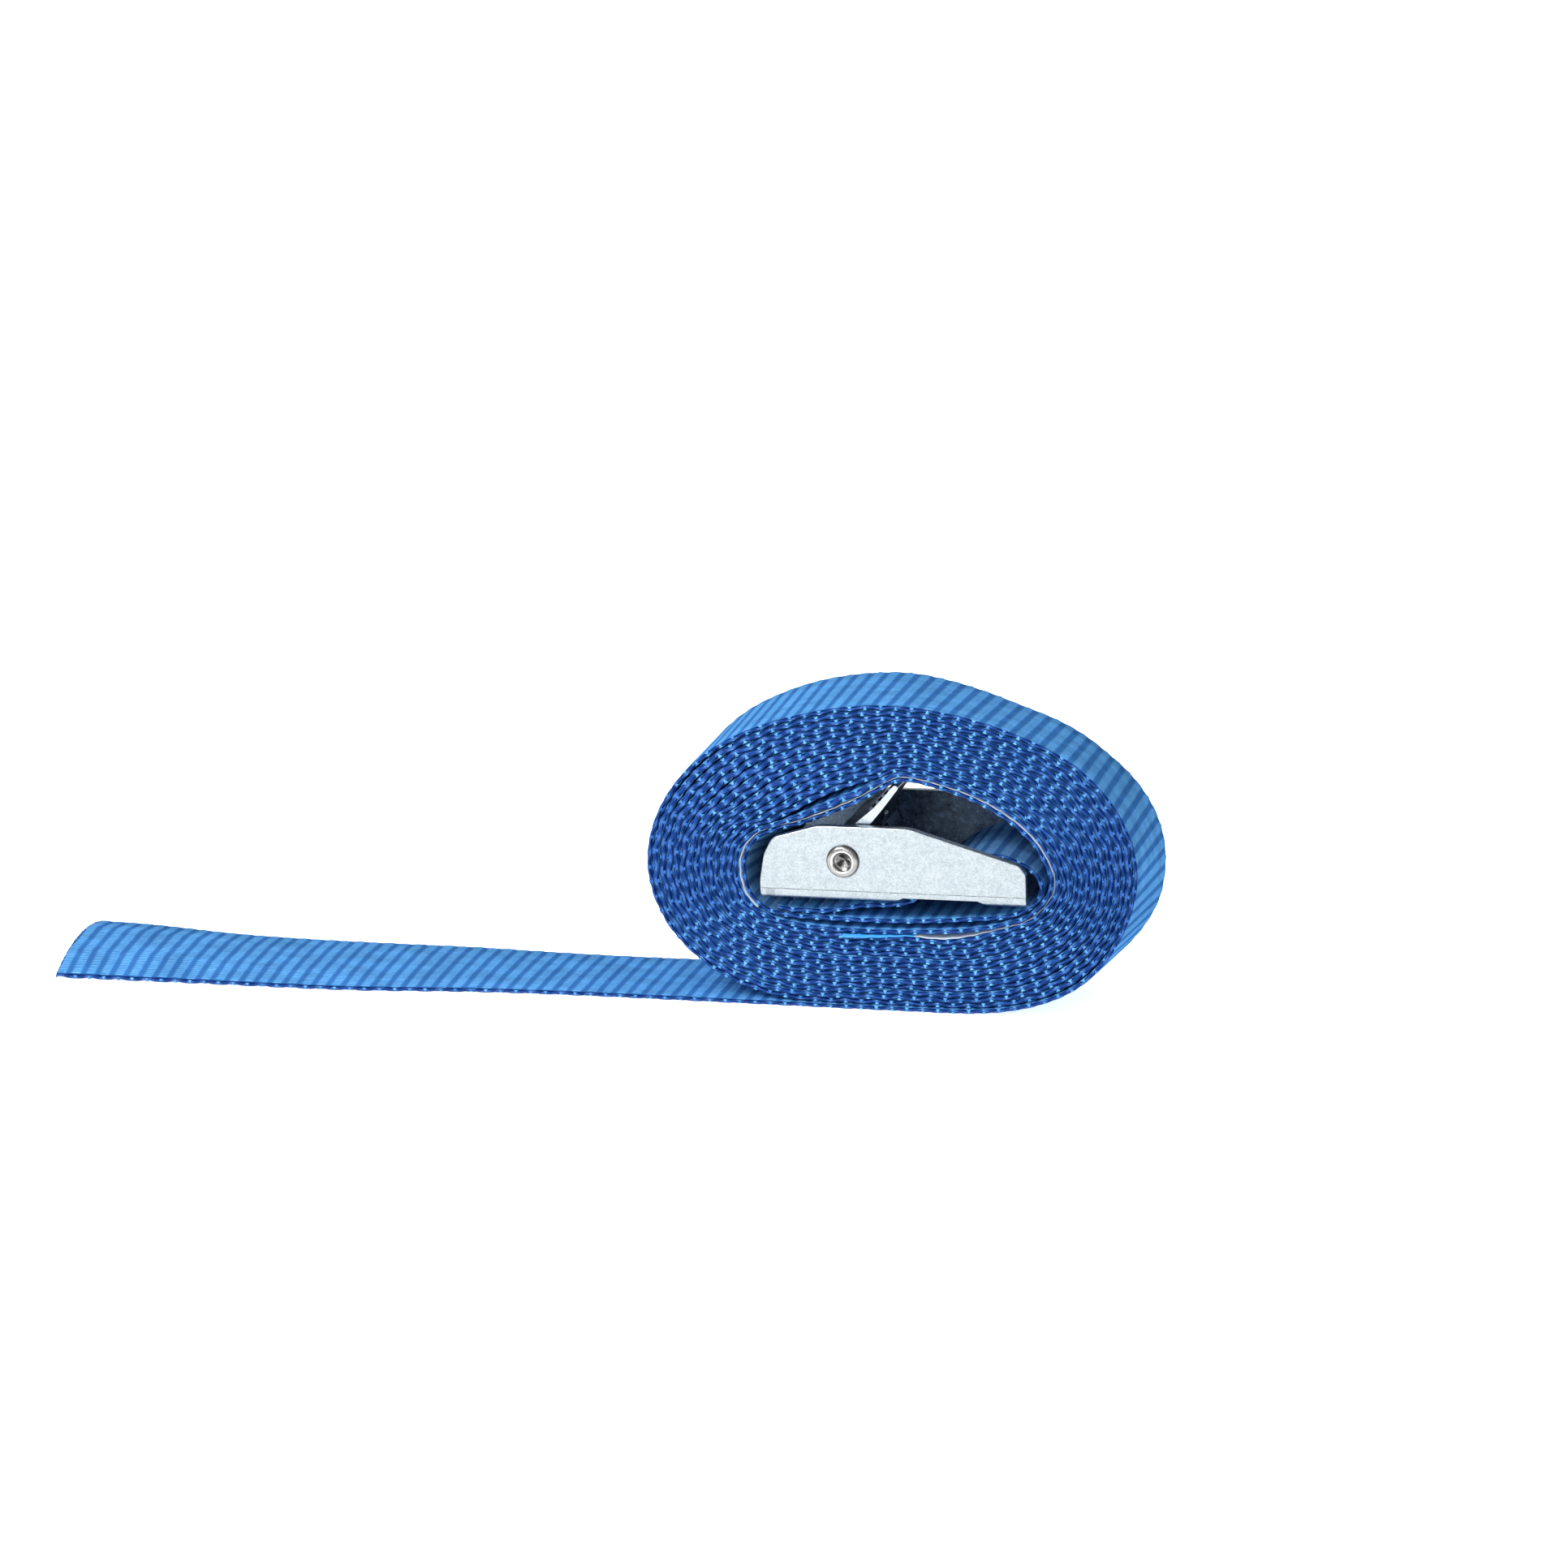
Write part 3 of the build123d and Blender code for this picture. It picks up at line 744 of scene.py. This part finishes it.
def loop_material():
    """The weft's loops on the selvage: pale blue, with a painted sheen that makes them brighter where the
    strap lies level and dimmer where it stands upright.
    """
    look = Shader("selvage_loop", Specular_IOR_Level=0.08)
    spots = look.noise(look.place((0.0012, 0.0012, 0.0012)), 1.0, 3.0)
    share = look.steps(spots, 0.3, 0.7)
    lit = look.mix(share, rgb(0.030, 0.160, 0.440), rgb(0.120, 0.370, 0.700))
    dim = look.mix(share, rgb(0.010, 0.065, 0.280), rgb(0.032, 0.130, 0.420))
    # painted highlight: the loops' colour follows how level the strap lies, as a sheen from the light
    # above
    level = look.node("SeparateXYZ", look.node("UVMap", uv_map="lie"))
    look.colour(look.mix(look.steps(level, 0.35, 0.95), dim, lit))
    look.rough(look.steps(spots, 0.3, 0.7, 0.34, 0.46))
    look.bump(look.noise(look.place((0.0002, 0.0002, 0.0004)), 1.0, 2.0), 0.00005, 0.6)
    return look.material


def melted_material():
    """Polyester that has melted and set: deeper, smoother and a little glassy."""
    look = Shader("melted_polyester")
    lumps = look.noise(look.place((0.0016, 0.0016, 0.0016)), 1.0, 4.0)
    deep, pale = rgb(0.014, 0.075, 0.260), rgb(0.090, 0.290, 0.600)
    look.colour(look.mix(look.steps(lumps, 0.35, 0.7), deep, pale))
    look.bump(lumps, 0.0002, 0.6)
    look.rough(look.steps(lumps, 0.3, 0.7, 0.15, 0.4))
    return look.material


def label_material():
    """White satin tape whose free end is printed plain blue."""
    look = Shader("label_satin", Sheen_Weight=0.2)
    uv = look.node("UVMap", uv_map="weave")
    from_end, across = look.node("SeparateXYZ", uv), look.node("SeparateXYZ", uv, out=1)
    ragged = look.noise(look.node("VectorMath", uv, (0.5, 0.8, 1.0), operation="MULTIPLY"), 1.0)
    place = look.math("ADD", from_end, look.math("MULTIPLY", ragged, 1.2))
    white = look.mix(ragged, rgb(0.40, 0.45, 0.52), rgb(0.56, 0.60, 0.66))
    look.colour(look.mix(look.steps(place, 14.0, 14.6), rgb(0.016, 0.280, 0.690), white))
    warp = look.math("SINE", look.math("MULTIPLY", across, 2 * math.pi / 0.18))
    weft = look.math("SINE", look.math("MULTIPLY", from_end, 2 * math.pi / 0.22))
    look.rough(look.steps(ragged, 0.3, 0.7, 0.36, 0.48))
    look.bump(look.math("MULTIPLY", warp, weft), 0.00002, 0.5)
    return look.material


def thread_material():
    """Twisted sewing thread."""
    look = Shader("sewing_thread", Sheen_Weight=0.3)
    ply = look.node("TexWave", look.place((0.0006, 0.0006, 0.0006)), Scale=1.0, Distortion=1.0)
    look.colour(look.mix(ply, rgb(0.030, 0.150, 0.480), rgb(0.090, 0.330, 0.750)))
    look.rough(look.steps(ply, 0.2, 0.8, 0.38, 0.52))
    look.bump(ply, 0.00005, 0.8)
    return look.material


# The buckle frame's crease and a patch of painted shade below its left end, in metres. Each pair is a
# soft edge.
CREASE_RISE = 0.002
CREASE_FADE = (0.00004, 0.00014)
SHADE_PATCH_LEFT = (0.03675, 0.03695)
SHADE_PATCH_RIGHT = (0.03850, 0.03865)
SKIN_FADE = 0.00004         # half the soft edge between the outer plating and the painted inside shade


def creased(look, base, crease, mottle, dark):
    """The plating with a fine dark line along the crease, and a patch of painted shade below its left
    end.
    """
    height = look.node("SeparateXYZ", look.node("TexCoord", out=3), out=2)
    off_line = look.math("ABSOLUTE", look.math("SUBTRACT", height, crease))
    line = look.steps(off_line, *CREASE_FADE, 0.8, 0.0)
    line = look.math("MULTIPLY", line, look.steps(mottle, 0.3, 0.6))
    base = look.mix(line, base, rgb(*[0.25 * c for c in dark]))
    # painted shade: a darker patch under the crease, below the frame's left end
    along = look.node("SeparateXYZ", look.node("TexCoord", out=3))
    shade_patch = look.steps(along, *SHADE_PATCH_LEFT)
    shade_patch = look.math("MULTIPLY", shade_patch, look.steps(along, *SHADE_PATCH_RIGHT, 1.0, 0.0))
    shade_patch = look.math("MULTIPLY", shade_patch, look.steps(height, crease - 0.0001, crease, 1.0, 0.0))
    return look.mix(look.math("MULTIPLY", shade_patch, 0.55), base, rgb(*[0.62 * c for c in dark]))


def zinc_material(name, dark, light, skin, inside_shade, crease=None):
    """Zinc plating: a mottled bright film with fine grains, faint scratches and dark scuffs.

    Within the distance skin of the middle plane, the film takes the inside_shade colour: painted shade,
    and on the frame a painted bluish reflection of the webbing.
    """
    look = Shader(name, Metallic=1.0)
    mottle = look.noise(look.place((0.0013, 0.0013, 0.0013)), 1.0, 6.0, 0.75)
    grain = look.noise(look.place((0.00030, 0.00030, 0.00030)), 1.0, 3.0, 0.7)
    scratch = look.noise(look.place((0.0030, 0.0030, 0.00012)), 1.0, 2.0)
    scuff = look.noise(look.place((0.0019, 0.0019, 0.0010)), 1.0, 5.0, 0.75)
    share = look.math("ADD", look.math("MULTIPLY", mottle, 0.45), look.math("MULTIPLY", grain, 0.55))
    base = look.mix(look.steps(share, 0.36, 0.64), rgb(*dark), rgb(*light))
    away = look.math("ABSOLUTE", look.node("SeparateXYZ", look.node("TexCoord", out=3), out=1))
    # painted shade and reflection: the inner faces between the cheeks take the inside_shade colour
    film = look.mix(look.steps(share, 0.50, 0.66), rgb(*[0.45 * c for c in inside_shade]), rgb(*inside_shade))
    base = look.mix(look.steps(away, skin - SKIN_FADE, skin + SKIN_FADE), film, base)
    base = look.mix(look.steps(scratch, 0.66, 0.74, 0.0, 0.25), base, rgb(0.85, 0.90, 0.93))
    base = look.mix(look.steps(scuff, 0.64, 0.74, 0.0, 0.40), base, rgb(*[0.4 * c for c in dark]))
    if crease is not None:
        base = creased(look, base, crease, mottle, dark)
    look.colour(base)
    look.rough(look.steps(mottle, 0.3, 0.7, 0.24, 0.42))
    relief = look.math("ADD", look.math("MULTIPLY", mottle, 0.6), look.math("MULTIPLY", grain, 0.5))
    look.bump(relief, 0.00005, 0.7)
    return look.material


def rivet_material():
    """Zinc with painted reflections: bright rings on the rolled crest and in the punch mark, painted
    shade in the recesses, dark facets painted in the punch mark, and patchy wear over it.
    """
    look = Shader("zinc_rivet", Metallic=1.0)
    centre = tuple(-pivot_point() * MM)
    arm = look.node("VectorMath", look.node("TexCoord", out=3), centre, operation="ADD")
    arm = look.node("VectorMath", arm, (1 / MM, 0.0, 1 / MM), operation="MULTIPLY")
    wear = look.noise(look.place((0.0009, 0.0009, 0.0009)), 1.0, 5.0, 0.7)
    radius = look.node("VectorMath", arm, operation="LENGTH", out=1)
    radius = look.math("ADD", radius, look.math("MULTIPLY", look.math("SUBTRACT", wear, 0.5), 0.22))
    # painted reflection and shade: grey tones by distance from the rivet's middle, as rings
    rings = [
        (0.0, 0.62), (1.30, 0.55), (1.42, 0.70), (1.50, 0.12), (1.72, 0.13), (1.88, 0.74), (2.10, 0.62),
        (2.30, 0.30), (2.70, 0.34), (2.92, 0.16), (3.10, 0.10), (3.40, 0.14),
    ]
    rim = 3.5
    reflection_bands = look.tones(look.math("DIVIDE", radius, rim), [(place / rim, tone) for place, tone in rings])
    turn = look.math("ARCTAN2", look.node("SeparateXYZ", arm, out=2), look.node("SeparateXYZ", arm))
    # painted reflection: dark facets round the punch mark
    facet = look.math("SINE", look.math("ADD", look.math("MULTIPLY", turn, 3.0), 2.4))
    punch_facet_shade = look.math("MULTIPLY", look.steps(radius, 1.30, 1.42, 1.0, 0.0), look.steps(facet, 0.1, 0.3))
    shade = look.mix(look.math("MULTIPLY", punch_facet_shade, 0.9), reflection_bands, rgb(0.04, 0.04, 0.05))
    shade_and_wear_dimmed = look.mix(1.0, shade, rgb(0.80, 0.80, 0.78), "MULTIPLY")
    look.colour(look.mix(look.steps(wear, 0.4, 0.62), shade_and_wear_dimmed, shade))
    look.rough(look.steps(wear, 0.3, 0.7, 0.16, 0.30))
    look.bump(wear, 0.00006, 0.6)
    return look.material


def spring_material():
    """Dark drawn spring wire with die lines along it."""
    look = Shader("spring_wire", Metallic=1.0)
    lines = look.noise(look.place((0.0006, 0.0006, 0.0006)), 1.0, 5.0)
    look.colour(look.mix(look.steps(lines, 0.3, 0.7), rgb(0.16, 0.17, 0.19), rgb(0.42, 0.44, 0.47)))
    look.rough(look.steps(lines, 0.3, 0.7, 0.22, 0.45))
    look.bump(lines, 0.00003, 0.5)
    return look.material


# ---------------------------------------------------------------- camera, light and floor
def camera():
    """The camera stands in front and to the right of the roll, a little above it."""
    azimuth, elevation, roll = (math.radians(a) for a in (15.25, 14.75, 1.9))
    distance, leftward, upward = 1.0, 0.0324, 0.0430
    foot = Vector((72.5, -WEB_WIDTH / 2, 0.0)) * MM
    forward = Vector((
        -math.sin(azimuth) * math.cos(elevation),
        math.cos(azimuth) * math.cos(elevation),
        -math.sin(elevation),
    ))
    level = Vector((math.cos(azimuth), math.sin(azimuth), 0.0))
    upright = level.cross(forward)
    right = math.cos(roll) * level - math.sin(roll) * upright
    up = math.sin(roll) * level + math.cos(roll) * upright
    data = bpy.data.cameras.new("camera")
    data.sensor_width, data.lens = 36.0, 122.98
    data.clip_start, data.clip_end = 0.05, 20.0
    eye = bpy.data.objects.new("camera", data)
    bpy.context.scene.collection.objects.link(eye)
    eye.matrix_world = Matrix((right, up, -forward)).transposed().to_4x4()
    eye.location = foot - forward * distance - right * leftward + up * upward
    bpy.context.scene.camera = eye


def softbox(name, place, size, power):
    """A square soft light aimed at the roll."""
    data = bpy.data.lights.new(name, "AREA")
    data.size = size
    data.energy = power
    lamp = bpy.data.objects.new(name, data)
    bpy.context.scene.collection.objects.link(lamp)
    lamp.location = place
    roll = Vector((0.04, 0.0, 0.02))
    lamp.rotation_euler = (roll - Vector(place)).to_track_quat("-Z", "Y").to_euler()


def studio():
    """A white floor under an even white sky, with soft lights over it."""
    world = bpy.data.worlds.new("studio")
    world.use_nodes = True
    sky = world.node_tree.nodes["Background"]
    sky.inputs["Color"].default_value = rgb(1.0, 1.0, 1.0)
    sky.inputs["Strength"].default_value = 0.75
    bpy.context.scene.world = world
    bpy.context.scene.view_settings.view_transform = "Standard"
    softbox("key", (-0.50, -0.80, 0.95), 0.45, 21.0)
    softbox("front", (0.02, -1.10, 0.42), 0.25, 1.6)
    reach = 5.0
    corners = reach * np.array([(-1, -1, 0), (1, -1, 0), (1, 1, 0), (-1, 1, 0)])
    floor = new_mesh("floor", corners, [[0, 1, 2, 3]], smooth=False)
    look = Shader(
        "white_paper", Roughness=0.9, Specular_IOR_Level=0.1,
        Emission_Color=rgb(1.0, 1.0, 1.0), Emission_Strength=0.75,
    )
    grain = look.noise(look.place((0.02, 0.02, 0.02)), 1.0)
    look.colour(look.mix(grain, rgb(0.93, 0.93, 0.93), rgb(0.96, 0.96, 0.96)))
    floor.data.materials.append(look.material)


# ---------------------------------------------------------------- the pieces
def dress(piece, material):
    """Gives a piece of the strap its material and slot. It stays with the frame."""
    piece.data.materials.append(material)
    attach(piece, STILL)


def coat(node, material):
    """Gives a CAD node its material."""
    piece = frame["nodes"][node]
    piece.data.materials.clear()
    piece.data.materials.append(material)


def build_strap():
    """The webbing with its edges, its melted end and its seam."""
    webbing = webbing_body()
    dress(webbing, webbing_material())
    cord_look, loop_look = cord_material(), loop_material()
    trim = []
    for side, name in ((-1, "front"), (1, "back")):
        cord = edge_cord(side, name + "_edge_cord")
        dress(cord, cord_look)
        loops = edge_loops(side, name + "_edge_loops")
        dress(loops, loop_look)
        trim += [cord, loops]
    bead = melted_end()
    dress(bead, melted_material())
    stitches = seam_stitches()
    dress(stitches, thread_material())
    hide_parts("strap_anchor_loop", "strap_first_turn", "strap_roll", "strap_tail")
    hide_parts("loop_stitching")
    trim += [bead, stitches]


def build_label():
    """The label tape, laid on the webbing."""
    tape, length = label()
    dress(tape, label_material())
    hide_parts("label_tape")


def build_spring():
    """The torsion spring's wire, in place of the CAD node."""
    spring = spring_wire()
    spring.data.materials.append(spring_material())
    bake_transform(spring)
    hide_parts("torsion_spring")


def build_metal():
    """The zinc-plated CAD nodes."""
    plate = zinc_material(
        "zinc_plate", dark=(0.265, 0.302, 0.325), light=(0.415, 0.460, 0.485),
        skin=0.01335, inside_shade=(0.58, 0.77, 1.0), crease=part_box("buckle_frame")[0][2] + CREASE_RISE,
    )
    coat("buckle_frame", plate)
    coat("pivot_rivet", rivet_material())
    casting = zinc_material(
        "zinc_casting", dark=(0.24, 0.29, 0.33), light=(0.56, 0.63, 0.68),
        skin=0.01255, inside_shade=(0.16, 0.21, 0.29),
    )
    coat("cam_lever", casting)


camera()
studio()
build_strap()
build_label()
build_spring()
build_metal()
